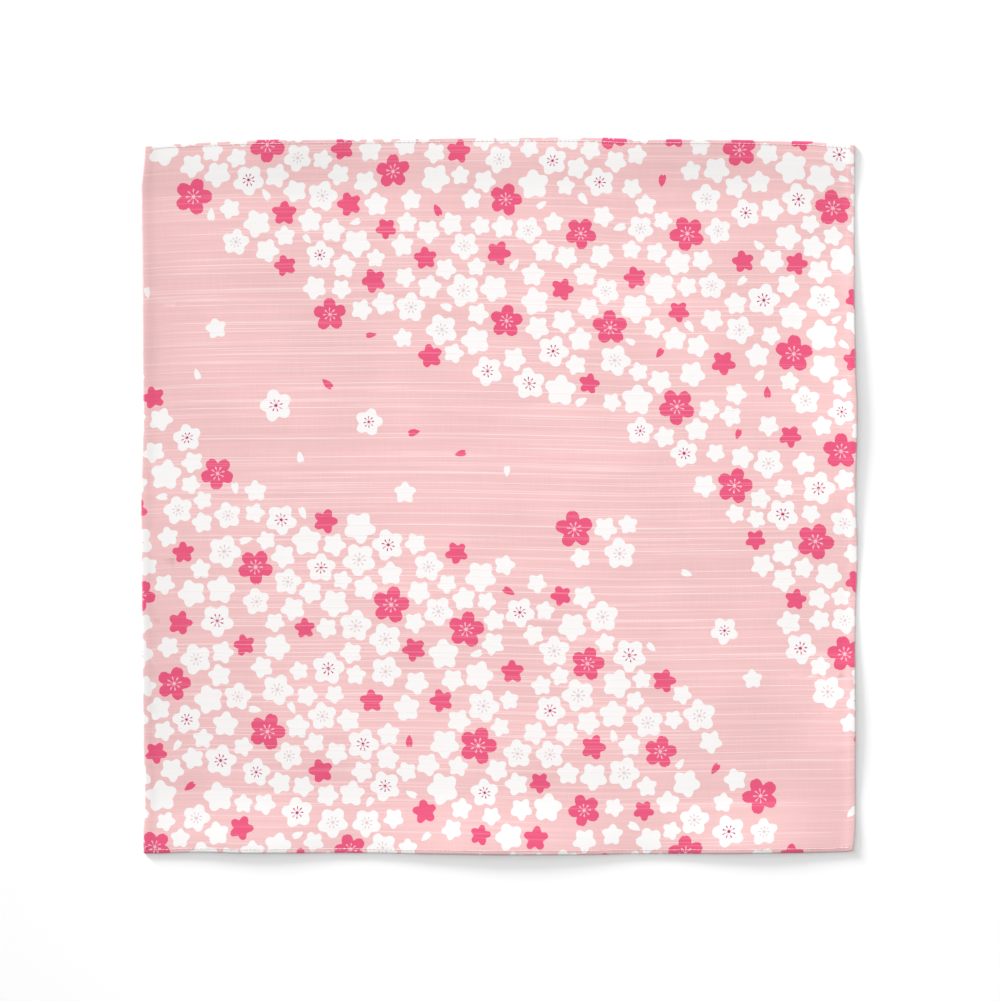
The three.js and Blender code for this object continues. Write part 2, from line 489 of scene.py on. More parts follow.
reach_sums = radii[:, None] + radii[None] + LEAST_GAP
close = (distances(places, places) < reach_sums) & ~np.eye(len(strewn), dtype=bool)
neighbours = [np.flatnonzero(row) for row in close]
for one in range(len(strewn)):
    best = -math.inf
    for turn in turns[one] + np.arange(TURNS_TRIED) * 2 * math.pi / PETALS / TURNS_TRIED:
        before = turns[one]
        turns[one] = turn
        room = room_round(one)
        if room > best:
            best = room
        else:
            turns[one] = before
for _ in range(SHRINK_ROUNDS):
    for one in range(len(strewn)):
        radii[one] -= SHRINK_SHARE * max(LEAST_GAP - room_round(one), 0)
print(f"smallest gap {min(room_round(one) for one in range(len(strewn))):.2f} mm")

# %% [markdown]
# Slub cotton is woven with weft threads that swell here and there, which rules the cloth with fine
# pale lines. They could be a bump in the material alone. Here the boldest of them are real ridges in
# the cloth, each a long low tent of three rows of points, and the material adds only the finer ones.

# %% Choose the slub threads
SLUB_COUNT = 66
SLUB_STEP = 11
SLUB_HALF_WIDTH = 0.36
SLUB_RISE = 0.03
SLUB_TAPER = 45
SLUB_RUNS = (0.6, 2.0)
SLUB_STRENGTHS = (0.45, 1.0)
SLUB_SCATTER = (0.2, 0.8)
SELVEDGE_CLEAR = 1.5
BOWS = ((1.1, 93, 0.6), (0.5, 37, 2.1))


def weft_bow(across):
    """How far the weft threads wander along the cloth on their way across it, in millimetres."""
    return sum(swing * np.sin(across / length + start) for swing, length, start in BOWS)


slubs = []
pitch = (CUT_LENGTH - 2 * HEM_RUN) / SLUB_COUNT
for number in range(SLUB_COUNT):
    along = HEM_RUN + (number + random.uniform(*SLUB_SCATTER)) * pitch
    run = random.uniform(*SLUB_RUNS) * WIDTH
    middle = random.uniform(0, WIDTH)
    start = max(middle - run / 2, SELVEDGE_CLEAR)
    stop = min(middle + run / 2, WIDTH - SELVEDGE_CLEAR)
    slubs.append((start, stop, along, random.uniform(*SLUB_STRENGTHS)))


def slub_swell(across, place):
    """How much the slub threads swell at places on the cut, from 0 to 1."""
    swell = np.zeros(len(across))
    for start, stop, along, strength in slubs:
        off = np.abs(place - along - weft_bow(across))
        taper = np.clip(np.minimum(across - start, stop - across) / SLUB_TAPER, 0, 1)
        swell += strength * taper * np.clip(1 - off / SLUB_HALF_WIDTH, 0, 1)
    return swell


print(f"{SLUB_COUNT} slub threads, {sum(stop - start for start, stop, _, _ in slubs) / 1000:.1f} m")

# %% [markdown]
# Now the cut is divided into triangles. A plain grid would need a million of them to follow every
# blossom. A constrained Delaunay triangulation takes outlines as they are: the blossoms, the slub
# ridges and the folds of the hem all become edges of the mesh, and each triangle knows its blossom.

# %% Gather the lines of the cloth
GRID_STEP = 11
OUTLINE_MARGIN = 0.45
OUTLINE_STEP = 2.1
PETAL_WIDTH, PETAL_BASE, PETAL_TIP = 0.52, 0.8, 0.45
EDGE_STEP = 2.6
ROUNDED_WIDTH, UNEVEN_WIDTH = 0.35, 1.2
SELVEDGE_WIDTH, SELVEDGE_END = 4.8, 5.4

cut_points = []
cut_lines = []
cut_outlines = []


def add_points(across, place):
    """Adds points to those that the triangles will use, and gives their numbers."""
    first = len(cut_points)
    cut_points.extend(zip(across, place))
    return list(range(first, len(cut_points)))


def add_line(across, place):
    """Adds a row of points, and lines from each one to the next."""
    numbers = add_points(across, place)
    cut_lines.extend(zip(numbers[:-1], numbers[1:]))


def petal_ring(one, steps):
    """The outline of a loose petal, pointed at its base."""
    angles = np.linspace(0, 2 * math.pi, steps, endpoint=False)
    down = np.cos(angles)
    half_width = PETAL_WIDTH * (1 + down) ** PETAL_BASE * (1 - down) ** PETAL_TIP
    beside = half_width * np.sign(np.sin(angles))
    cos, sin = math.cos(turns[one]), math.sin(turns[one])
    ring = np.column_stack((down * cos - beside * sin, down * sin + beside * cos))
    return places[one] + ring * (radii[one] + OUTLINE_MARGIN)


for one, kind in enumerate(strewn):
    steps = PETALS * round(2 * math.pi * radii[one] / OUTLINE_STEP / PETALS)
    if kind["petal"]:
        ring = petal_ring(one, steps)
    else:
        ring = outlines([one], steps, OUTLINE_MARGIN)[0]
    cut_outlines.append(add_points(*ring.T))
print(len(cut_points), "points round", len(cut_outlines), "blossoms and petals")

# %% Add the ridges, the hem folds and the edges
for start, stop, along, _ in slubs:
    across = np.linspace(start, stop, round((stop - start) / SLUB_STEP) + 1)
    for off in (-SLUB_HALF_WIDTH, 0, SLUB_HALF_WIDTH):
        add_line(across, along + weft_bow(across) + off)

hem_across = np.linspace(0, WIDTH, round(WIDTH / GRID_STEP) + 1)
for place in hem_places[1:]:
    for row in (place, CUT_LENGTH - place):
        add_line(hem_across, np.full(len(hem_across), row))

edge_places = np.linspace(0, CUT_LENGTH, round(CUT_LENGTH / EDGE_STEP) + 1)
for row in (ROUNDED_WIDTH, UNEVEN_WIDTH, SELVEDGE_WIDTH, SELVEDGE_END):
    for across in (row, WIDTH - row):
        add_line(np.full(len(edge_places), across), edge_places)
for across in (0, WIDTH):
    add_line(np.full(len(edge_places), across), edge_places)
for place in (0, CUT_LENGTH):
    add_line(hem_across, np.full(len(hem_across), place))

grid_places = np.linspace(HEM_RUN, CUT_LENGTH - HEM_RUN, round(LENGTH / GRID_STEP) + 1)
grid_across, grid_along = np.meshgrid(hem_across[1:-1], grid_places[1:-1])
add_points(grid_across.ravel(), grid_along.ravel())
print(len(cut_points), "points on the cut")

# %% [markdown]
# Blender's own triangulation does the work in a second. It adds a point wherever two lines cross,
# and says for each triangle which outline it lies in. Blossoms hang over the edges of the cut, as on
# printed cloth, so what lies outside the cut is trimmed off afterwards.

# %% Divide the cut into triangles
MERGE_GAP = 0.004

triangulated = delaunay_2d_cdt(
    [Vector(point) for point in cut_points], cut_lines, cut_outlines, 0, MERGE_GAP, True
)
cut = np.array([tuple(point) for point in triangulated[0]])
triangles = np.array([tuple(face) for face in triangulated[2]])
blossom_of = np.array([parts[0] if parts else -1 for parts in triangulated[5]])
centres = cut[triangles].mean(axis=1)
on_cut = ((centres > 0) & (centres < (WIDTH, CUT_LENGTH))).all(axis=1)
triangles, blossom_of = triangles[on_cut], blossom_of[on_cut]
used, triangles = np.unique(triangles, return_inverse=True)
cut, triangles = cut[used], triangles.reshape(-1, 3)
print(len(cut), "points,", len(triangles), "triangles,", (blossom_of >= 0).sum(), "in blossoms")

# %% [markdown]
# The flat triangles now become cloth. A modifier could thicken them, but it would add its own folds
# inside the hem. Here each point of the cut is laid out twice, half a thickness off to each side,
# and the edges are closed with a wall. The selvedges, the woven side edges, are a little thicker,
# rounded and slightly uneven, as the weft turns back there on each pass.

# %% Thickness of the cloth and its woven edges
SELVEDGE_SWELL = 0.05
ROUND_SHARE = 0.5
EDGE_UNEVEN = 0.045
UNEVEN_LENGTHS = (5.3, 8.1, 14.7, 31.0)
SIDES_DIFFER = 3.7

from_edge = np.minimum(cut[:, 0], WIDTH - cut[:, 0])
slub = slub_swell(*cut.T)
selvedge = np.interp(from_edge, (SELVEDGE_WIDTH, SELVEDGE_END), (1, 0))
rounding = np.interp(from_edge, (0, ROUNDED_WIDTH), (ROUND_SHARE, 1))
half_thick = (CLOTH_THICK / 2 + SLUB_RISE * slub + SELVEDGE_SWELL * selvedge) * rounding
uneven = sum(
    np.sin(2 * math.pi * (cut[:, 1] / length + SIDES_DIFFER * cut[:, 0] / WIDTH))
    for length in UNEVEN_LENGTHS
)
moved = cut[:, 0] + EDGE_UNEVEN * uneven * np.interp(from_edge, (0, UNEVEN_WIDTH), (1, 0))

# %% Close the cloth
def edge_numbers(ends):
    """One number for each edge, the same whichever end comes first."""
    return np.sort(ends, axis=1) @ (len(cut), 1)


right_points = cloth_point(moved, cut[:, 1], half_thick)
wrong_points = cloth_point(moved, cut[:, 1], -half_thick)
half_edges = np.vstack((triangles[:, :2], triangles[:, 1:], triangles[:, ::-2]))
one_way = edge_numbers(half_edges)
_, first_seen, times_seen = np.unique(one_way, return_index=True, return_counts=True)
rim = half_edges[first_seen[times_seen == 1]]
walls = np.column_stack((rim[:, ::-1], rim + len(cut)))
faces = triangles.tolist() + (triangles[:, ::-1] + len(cut)).tolist() + walls.tolist()

cloth_mesh = bpy.data.meshes.new("cloth")
cloth_mesh.from_pydata(np.vstack((right_points, wrong_points)), [], faces)
furoshiki = bpy.data.objects.new("furoshiki", cloth_mesh)
bpy.context.scene.collection.objects.link(furoshiki)
lowest, highest = wrong_points[:, 2].min() / MM, right_points[:, 2].max() / MM
print(f"{len(faces)} faces, from {lowest:.2f} to {highest:.2f} mm above the floor")

# %% [markdown]
# The material has to know where it is. A picture laid over the cloth would be simplest, but it would
# be blurred close up. Here each corner of the mesh carries its place in the weave and its place in
# its own blossom, in millimetres, and each triangle carries that blossom's measures. A third map,
# flat and without overlaps, is there for programs that need the finish baked into a picture.

# %% Places in the weave and in the blossoms
FAR_FROM_BLOSSOMS = 1000.0
corners = cut[triangles]
in_blossom = blossom_of >= 0
own_place = places[blossom_of][:, None]
own_turn = turns[blossom_of][:, None]
off_place = corners - own_place
cos, sin = np.cos(own_turn), np.sin(own_turn)
motif = np.stack(
    (
        off_place[..., 0] * cos + off_place[..., 1] * sin,
        off_place[..., 1] * cos - off_place[..., 0] * sin,
    ),
    axis=-1,
)
motif[~in_blossom] = FAR_FROM_BLOSSOMS
weave = np.stack((corners[..., 0], corners[..., 1] - weft_bow(corners[..., 0])), axis=-1)
wall_cut = cut[walls % len(cut)]


def both_sides(right, wall):
    """One row of numbers for each corner: the right side, the wrong side and the walls."""
    return np.vstack((right.reshape(-1, 2), right[:, ::-1].reshape(-1, 2), wall.reshape(-1, 2)))


def add_map(name, corner_places):
    """Keeps one flat place for each corner of the cloth, for the material to read."""
    cloth_mesh.uv_layers.new(name=name).uv.foreach_set("vector", corner_places.ravel())


add_map("weave", both_sides(weave, wall_cut))
add_map("motif", both_sides(motif, np.full(wall_cut.shape, FAR_FROM_BLOSSOMS)))

# %% A map without overlaps
MAP_EDGE = 0.008
MAP_RUN = 1 - 2 * MAP_EDGE
RIGHT_SHARE, WRONG_SHARE, WALL_SHARE = 0.8, 0.16, 0.006
CUT_SIZE = np.array((WIDTH, CUT_LENGTH))

share = corners / CUT_SIZE
right_map = MAP_EDGE + share * (RIGHT_SHARE, MAP_RUN)
wrong_map = (RIGHT_SHARE + 2 * MAP_EDGE, MAP_EDGE) + share * (WRONG_SHARE, MAP_RUN)
middles = wall_cut.mean(axis=1)
edge_of = np.hstack((middles, CUT_SIZE - middles)).argmin(axis=1)
on_selvedge = edge_of[:, None] % 2 == 0
wall_share = np.where(on_selvedge, *(wall_cut / CUT_SIZE).transpose(2, 0, 1)[::-1])
wall_down = MAP_EDGE + (edge_of[:, None] + wall_share) / 4 * MAP_RUN
wall_over = 1 - MAP_EDGE - WALL_SHARE * (walls < len(cut))
wall_map = np.stack((wall_over, wall_down), axis=-1)
map_places = np.vstack(
    (right_map.reshape(-1, 2), wrong_map[:, ::-1].reshape(-1, 2), wall_map.reshape(-1, 2))
)
add_map("OFBake", map_places)

# %% What each triangle knows of its blossom
def add_values(name, kind, domain, values):
    """Keeps one value for each face or point of the cloth, for the material to read."""
    field = "vector" if kind == "FLOAT_VECTOR" else "value"
    cloth_mesh.attributes.new(name, kind, domain).data.foreach_set(field, values.ravel())


def for_faces(blossom_values):
    """Values of the blossom that each face lies in, with 0 outside them and on the walls."""
    known = np.where(in_blossom[:, None], blossom_values[blossom_of], 0)
    return np.vstack((known, known, np.zeros((len(walls), 3))))


measures = np.column_stack((radii, hearts, tips))
inks = np.array([[kind["crimson"], kind["stamens"], kind["notch"]] for kind in strewn])
wrong_side = np.repeat((0.0, 1.0, 0.5), (len(triangles), len(triangles), len(walls)))
add_values("blossom", "FLOAT_VECTOR", "FACE", for_faces(measures))
add_values("ink", "FLOAT_VECTOR", "FACE", for_faces(inks))
add_values("wrong_side", "FLOAT", "FACE", wrong_side)
add_values("slub", "FLOAT", "POINT", np.concatenate((slub, slub)))
print("maps:", [layer.name for layer in cloth_mesh.uv_layers])

# %% [markdown]
# Smooth shading blends the tilt of neighbouring faces, and next to a slub ridge it would tint a
# strip of flat cloth many times wider than the thread. So the edges where a ridge meets the flat
# cloth are marked sharp, and the blend stops there.

# %% Shade the cloth smooth, but keep the ridges crisp
LEAST_SWELL = 0.02
SHARP_ANGLE = math.radians(50)

on_ridge = (slub[triangles] > LEAST_SWELL).any(axis=1)
order = np.argsort(one_way)
face_of = np.tile(np.arange(len(triangles)), 3)[order]
paired = one_way[order][1:] == one_way[order][:-1]
meets_flat = paired & (on_ridge[face_of[1:]] != on_ridge[face_of[:-1]])
ridge_edges = one_way[order][1:][meets_flat]

cloth_mesh.shade_smooth()
cloth_mesh.set_sharp_from_angle(angle=SHARP_ANGLE)
ends = np.empty(len(cloth_mesh.edges) * 2, dtype=np.int32)
cloth_mesh.edges.foreach_get("vertices", ends)
ends = ends.reshape(-1, 2)
along_one_side = (ends[:, 0] < len(cut)) == (ends[:, 1] < len(cut))
sharp = np.empty(len(ends), dtype=bool)
cloth_mesh.edges.foreach_get("use_edge_sharp", sharp)
sharp |= along_one_side & np.isin(edge_numbers(ends % len(cut)), ridge_edges)
cloth_mesh.edges.foreach_set("use_edge_sharp", sharp)
print(sharp.sum(), "sharp edges")

# %% [markdown]
# A hem is held by a row of lockstitches. They could be dashes of colour. Here each row is two real
# threads: one runs over the top and dips into the cloth at every hole, and one does the same below.
# The tube helper draws any thread from the points that it follows.

# %% Thread as a tube
THREAD_SIDES = 6
NEARLY_UP = (0.11, 0.07, 1)


def tube(points, radius):
    """Points and faces of a closed round tube that follows a row of points, in metres."""
    points = np.asarray(points)
    ahead = np.gradient(points, axis=0)
    ahead /= np.linalg.norm(ahead, axis=1)[:, None]
    beside = np.cross(ahead, NEARLY_UP)
    beside /= np.linalg.norm(beside, axis=1)[:, None]
    above = np.cross(beside, ahead)
    angles = np.arange(THREAD_SIDES) * 2 * math.pi / THREAD_SIDES
    ring = np.cos(angles)[:, None, None] * beside + np.sin(angles)[:, None, None] * above
    skin = (points + radius * ring).transpose(1, 0, 2).reshape(-1, 3)
    faces = []
    for start in range(0, len(skin) - THREAD_SIDES, THREAD_SIDES):
        for here in range(THREAD_SIDES):
            beyond = (here + 1) % THREAD_SIDES
            near, far = start, start + THREAD_SIDES
            faces.append((near + here, near + beyond, far + beyond, far + here))
    last = len(skin) - THREAD_SIDES
    faces.append(tuple(range(THREAD_SIDES))[::-1])
    faces.append(tuple(range(last, len(skin))))
    return skin, faces


def make_thread(name, runs, radius):
    """One object made of several tubes."""
    skins, faces = [], []
    for points in runs:
        skin, skin_faces = tube(points, radius)
        first = sum(len(one) for one in skins)
        faces += [tuple(first + number for number in face) for face in skin_faces]
        skins.append(skin)
    mesh = bpy.data.meshes.new(name)
    mesh.from_pydata(np.vstack(skins), [], faces)
    mesh.shade_smooth()
    thread = bpy.data.objects.new(name, mesh)
    bpy.context.scene.collection.objects.link(thread)
    print(name, "has", len(faces), "faces")
    return thread


# %% Stitch the hems
STITCH_PITCH = 2.9
THREAD_RADIUS = 0.15
STITCH_ENDS = 4.0
STITCH_SHARES = (0.0, 0.09, 0.2, 0.5, 0.8, 0.91)
STITCH_DEPTHS = (-0.4, -0.08, 0.05, 0.09, 0.05, -0.08)
UNDER_TIGHTER = 0.14
HOLE_SCATTER = 0.12
WANDERS = ((0.12, 31), (0.07, 9.3))
LOOP_MIDDLE, LOOP_RADIUS = 2.4, 1.1
LOOP_TURNS = (0.08, 0.94)
LOOP_STEPS = 26
LOOP_ROOT, LOOP_ARCH = 0.12, 0.4

stitches = round((WIDTH - 2 * STITCH_ENDS) / STITCH_PITCH)
holes = STITCH_ENDS + np.arange(stitches + 1) * STITCH_PITCH
after_edge = 1 + len(inner_turn) + len(edge_turn)
over_place = hem_places[after_edge + 1]
under_run = slice(after_edge - ARC_STEPS - 1, len(inner_turn) - 1, -1)
under_place = np.interp(STITCH_LINE, hem_run[under_run, 0], hem_places[under_run])


def stitch_row(place, sunk, far):
    """The points that a thread follows along a hem, at one place of the hem's run."""
    own_holes = holes + random.uniform(-HOLE_SCATTER, HOLE_SCATTER, len(holes))
    across = (own_holes[:-1, None] + np.diff(own_holes)[:, None] * STITCH_SHARES).ravel()
    depth = np.tile(STITCH_DEPTHS, stitches) - sunk * (np.tile(STITCH_DEPTHS, stitches) > 0)
    on_cut = place + sum(swing * np.sin(across / length + place) for swing, length in WANDERS)
    if far:
        on_cut = CUT_LENGTH - on_cut
    return cloth_point(across, on_cut, CLOTH_THICK / 2 + depth)


def loose_loop():
    """The small loop of thread that stands loose at the near left corner."""
    turned = np.linspace(*LOOP_TURNS, LOOP_STEPS) * 2 * math.pi
    across = LOOP_MIDDLE + LOOP_RADIUS * np.sin(turned)
    place = over_place + LOOP_RADIUS * (1 - np.cos(turned))
    arched = np.sin(np.linspace(0, math.pi, LOOP_STEPS))
    return cloth_point(across, place, CLOTH_THICK / 2 - LOOP_ROOT + LOOP_ARCH * arched)


hem_threads = []
for name, far in (("near_stitching", False), ("far_stitching", True)):
    rows = [stitch_row(over_place, 0.0, far), stitch_row(under_place, UNDER_TIGHTER, far)]
    if not far:
        rows.append(loose_loop())
    hem_threads.append(make_thread(name, rows, THREAD_RADIUS * MM))

# %% [markdown]
# Each finish below is made of many small nodes. Naming every node and link would hide the idea, so
# a short helper adds a node and feeds it in one step. Its words follow what a textile maker would
# say: threads for drawn-out noise, fold for repeating a motif, and blend for laying ink on cloth.

# %% A helper for finishes
NOISE_DETAIL = 2.0


class Finish:
    """A material built from nodes, where a node is fed plain numbers or what others give."""

    def __init__(self, name, roughness):
        self.material = bpy.data.materials.new(name)
        self.material.use_nodes = True
        self.nodes = self.material.node_tree.nodes
        self.surface = self.nodes["Principled BSDF"]
        self.surface.inputs["Roughness"].default_value = roughness

    def feed(self, socket, source):
        """Links a socket to another node's output, or sets it to a plain number."""
        if isinstance(source, bpy.types.NodeSocket):
            self.material.node_tree.links.new(source, socket)
        else:
            socket.default_value = source

    def add(self, kind, sockets=(), **settings):
        """Adds a node, sets it up, feeds its sockets, and gives its outputs."""
        node = self.nodes.new("ShaderNode" + kind)
        for name, setting in settings.items():
            setattr(node, name, setting)
        for socket, source in dict(sockets).items():
            self.feed(node.inputs[socket], source)
        return node.outputs

    def maths(self, operation, *numbers):
        """One sum on numbers, by the name of Blender's Math node for it."""
        return self.add("Math", enumerate(numbers), operation=operation)[0]

    def square(self, number):
        """A number times itself."""
        return self.maths("MULTIPLY", number, number)

    def step(self, value, start, stop, low=0.0, high=1.0):
        """Goes smoothly from low to high as a value goes from start to stop."""
        sockets = enumerate((value, start, stop, low, high))
        return self.add("MapRange", sockets, interpolation_type="SMOOTHSTEP")[0]

    def choose(self, share, low, high):
        """A number between two others, whose sockets in a Mix node are 2 and 3."""
        return self.add("Mix", {0: share, 2: low, 3: high}, data_type="FLOAT")[0]

    def blend(self, share, under, over, how="MIX"):
        """Lays one colour over another, whose sockets in a Mix node are 6 and 7."""
        sockets = {0: share, 6: under, 7: over}
        return self.add("Mix", sockets, data_type="RGBA", blend_type=how)[2]

    def threads(self, place, across, along):
        """Noise that changes so many times in a millimetre across the cloth and along it."""
        drawn = self.add("VectorMath", {0: place, 1: (across, along, 0)}, operation="MULTIPLY")[0]
        sockets = {"Vector": drawn, "Scale": 1.0, "Detail": NOISE_DETAIL}
        return self.add("TexNoise", sockets, noise_dimensions="2D")[0]

    def fold(self, angle, parts):
        """Folds a full turn into equal parts, each from minus half a part to half a part."""
        part = 2 * math.pi / parts
        turned = self.maths("FRACT", self.maths("MULTIPLY_ADD", angle, 1 / part, 0.5))
        return self.maths("MULTIPLY_ADD", turned, part, -part / 2)

    def bump(self, height, distance_mm, strength):
        """Tilts the light on the surface as if it had a relief so many millimetres high."""
        sockets = {"Height": height, "Distance": distance_mm * MM, "Strength": strength}
        self.feed(self.surface.inputs["Normal"], self.add("Bump", sockets)[0])


# %% [markdown]
# The ink first. The shader finds its place in the blossom, folds the turn into five petals, and
# measures how far it is past the petal's two circles and its flanks. Thick and thin weft threads take
# the ink unevenly, so the place is shaken a little with noise, and the edge comes out ragged. The
# print needs hundreds of small steps, so the helpers get short names of their own first.

# %% Find the place in the blossom
COTTON_ROUGHNESS = 0.88
HAND_SHAKE, HAND_CHANGES = 1.3, (1 / 9, 1 / 9)
THREAD_SHAKE, SHAKE_CHANGES = 0.55, (0.5, 1.7)
NOISE_MIDDLE = (0.5, 0.5, 0.5)
PETAL_HEART = 0.9

cotton = Finish("printed slub cotton", COTTON_ROUGHNESS)
add, maths, square, fold = cotton.add, cotton.maths, cotton.square, cotton.fold
step, choose, blend = cotton.step, cotton.choose, cotton.blend
weave_place = add("UVMap", uv_map="weave")[0]
motif_place = add("UVMap", uv_map="motif")[0]
blossom_facts = add("Attribute", attribute_name="blossom")["Vector"]
radius, heart, tip = add("SeparateXYZ", {0: blossom_facts})
ink_facts = add("Attribute", attribute_name="ink")["Vector"]
is_crimson, has_stamens, notch = add("SeparateXYZ", {0: ink_facts})
is_petal = maths("GREATER_THAN", heart, PETAL_HEART)

shaken = motif_place
for amount, changes in ((HAND_SHAKE, HAND_CHANGES), (THREAD_SHAKE, SHAKE_CHANGES)):
    place = add("VectorMath", {0: weave_place, 1: (*changes, 0)}, operation="MULTIPLY")[0]
    shake = add("TexNoise", {"Vector": place, "Scale": 1.0}, noise_dimensions="2D")[1]
    shake = add("VectorMath", {0: shake, 1: NOISE_MIDDLE}, operation="SUBTRACT")[0]
    shake_sockets = {0: shake, 1: (amount, amount, 0), 2: shaken}
    shaken = add("VectorMath", shake_sockets, operation="MULTIPLY_ADD")[0]
from_heart = add("VectorMath", {0: shaken}, operation="LENGTH")[1]
off_across, off_along, _ = add("SeparateXYZ", {0: shaken})
turn = maths("ARCTAN2", off_along, off_across)

# %% Five petals
EDGE_SOFT = 0.1
NOTCH_SLOPE = 0.9
LEAST_RADIUS = 0.001

petal_turn = fold(turn, PETALS)
down_petal = maths("MULTIPLY", from_heart, maths("COSINE", petal_turn))
beside_petal = maths("ABSOLUTE", maths("MULTIPLY", from_heart, maths("SINE", petal_turn)))
heart_size = maths("MULTIPLY", heart, radius)
tip_size = maths("MULTIPLY", tip, radius)
tip_at = maths("MAXIMUM", maths("SUBTRACT", radius, tip_size), LEAST_RADIUS)
lean = maths("DIVIDE", maths("SUBTRACT", heart_size, tip_size), tip_at)
upright = maths("SQRT", maths("SUBTRACT", 1.0, square(lean)))
flank_off = maths("MULTIPLY_ADD", beside_petal, upright, maths("MULTIPLY", down_petal, lean))
past_flank = maths("SUBTRACT", flank_off, heart_size)
flank_run = maths("MULTIPLY", maths("SUBTRACT", down_petal, tip_at), upright)
past_run = maths("SUBTRACT", flank_run, maths("MULTIPLY", beside_petal, lean))
tip_squares = maths("ADD", square(maths("SUBTRACT", down_petal, tip_at)), square(beside_petal))
past_tip = maths("SUBTRACT", maths("SQRT", tip_squares), tip_size)
past_heart = maths("SUBTRACT", from_heart, heart_size)
past_blossom = maths("MINIMUM", maths("MAXIMUM", past_flank, past_run), past_tip)
past_blossom = maths("MINIMUM", past_blossom, past_heart)
notch_start = maths("SUBTRACT", radius, maths("MULTIPLY", notch, radius))
notch_edge = maths("MULTIPLY_ADD", beside_petal, NOTCH_SLOPE, notch_start)
past_notch = maths("SUBTRACT", down_petal, notch_edge)
past_blossom = maths("MAXIMUM", past_blossom, past_notch)

# %% Loose petals, and where the ink lies
PETAL_NOTCH_AT, PETAL_NOTCH_SLOPE = 0.72, 1.3

petal_run = maths("DIVIDE", off_across, maths("MAXIMUM", radius, LEAST_RADIUS))
to_base = maths("MAXIMUM", maths("ADD", petal_run, 1.0), 0.0)
to_tip = maths("MAXIMUM", maths("SUBTRACT", 1.0, petal_run), 0.0)
half_width = maths(
    "MULTIPLY", maths("POWER", to_base, PETAL_BASE), maths("POWER", to_tip, PETAL_TIP)
)
half_width = maths("MULTIPLY", half_width, maths("MULTIPLY", radius, PETAL_WIDTH))
side_off = maths("ABSOLUTE", off_along)
past_petal = maths("SUBTRACT", side_off, half_width)
notch_at = maths("MULTIPLY", radius, PETAL_NOTCH_AT)
tip_notch = maths("MULTIPLY_ADD", side_off, PETAL_NOTCH_SLOPE, notch_at)
past_petal = maths("MAXIMUM", past_petal, maths("SUBTRACT", off_across, tip_notch))
past_ink = choose(is_petal, past_blossom, past_petal)
ink = step(past_ink, EDGE_SOFT, -EDGE_SOFT)
print("petals and blossoms take", len(cotton.nodes), "nodes")

# %% [markdown]
# Some blossoms carry eight stamens round a small heart. A stamen is a thin line that thickens to a
# club at its end. One folded part draws all eight. The same shape serves the dark and the pale
# stamens on white, and the pale star on crimson, so only its colour changes.

# %% Stamens
STAMENS = 8
STAMEN_END = 0.405
CLUB_FROM, CLUB_FULL = 0.21, 0.31
LINE_SHARE, CLUB_SHARE = 0.01, 0.037
HEART_RADIUS = 0.095
STAMEN_SOFT = 0.12
PALE_BELOW = 0.7

stamen_turn = fold(turn, STAMENS)
down_stamen = maths("MULTIPLY", from_heart, maths("COSINE", stamen_turn))
beside_stamen = maths("ABSOLUTE", maths("MULTIPLY", from_heart, maths("SINE", stamen_turn)))
stamen_run = maths("DIVIDE", down_stamen, maths("MAXIMUM", radius, LEAST_RADIUS))
club = step(stamen_run, CLUB_FROM, CLUB_FULL, LINE_SHARE, CLUB_SHARE)
past_line = maths("SUBTRACT", beside_stamen, maths("MULTIPLY", club, radius))
past_stamen_end = maths("MULTIPLY_ADD", radius, -STAMEN_END, down_stamen)
past_stamen = maths("MAXIMUM", past_line, past_stamen_end)
past_centre = maths("MULTIPLY_ADD", radius, -HEART_RADIUS, from_heart)
past_stamen = maths("MINIMUM", past_stamen, past_centre)
stamen_ink = step(past_stamen, STAMEN_SOFT, -STAMEN_SOFT)
stamen_ink = maths("MULTIPLY", stamen_ink, maths("GREATER_THAN", has_stamens, 0.0))
is_pale = maths("LESS_THAN", has_stamens, PALE_BELOW)

# %% [markdown]
# The weave next. A regular stripe would make the threads, but it flickers in a picture where a
# thread is smaller than a pixel, and real yarn isn't regular. Here the place along the cloth is
# rounded to a thread number, and each thread takes its own run of noise across the cloth. So every
# thread is crisp, has a tone of its own, and swells and thins on its way.

# %% Threads of the weave
THREAD_PITCH, THREAD_CHANGES = 0.74, 0.0045
BAND_PITCH, BAND_CHANGES = 2.3, 0.004
APART = 13.7
YARN_DETAIL = 1.0
THREADS_PER_MM = 1.9
WEFT_CHANGES, WARP_CHANGES = 0.02, 0.05
CLOUD_CHANGES = (0.012, 0.016)
THICK_FROM, THICK_FULL = 0.05, 0.5
THIN_FROM, THIN_FULL, THIN_SHARE = 0.64, 0.7, 0.4


def yarn(pitch, changes):
    """Noise that changes slowly across the cloth, and anew from each thread to the next."""
    number = maths("FLOOR", maths("DIVIDE", along_cloth, pitch))
    own = add(
        "CombineXYZ",
        {0: maths("MULTIPLY", across_cloth, changes), 1: maths("MULTIPLY", number, APART)},
    )[0]
    sockets = {"Vector": own, "Scale": 1.0, "Detail": YARN_DETAIL}
    return add("TexNoise", sockets, noise_dimensions="2D")[0]


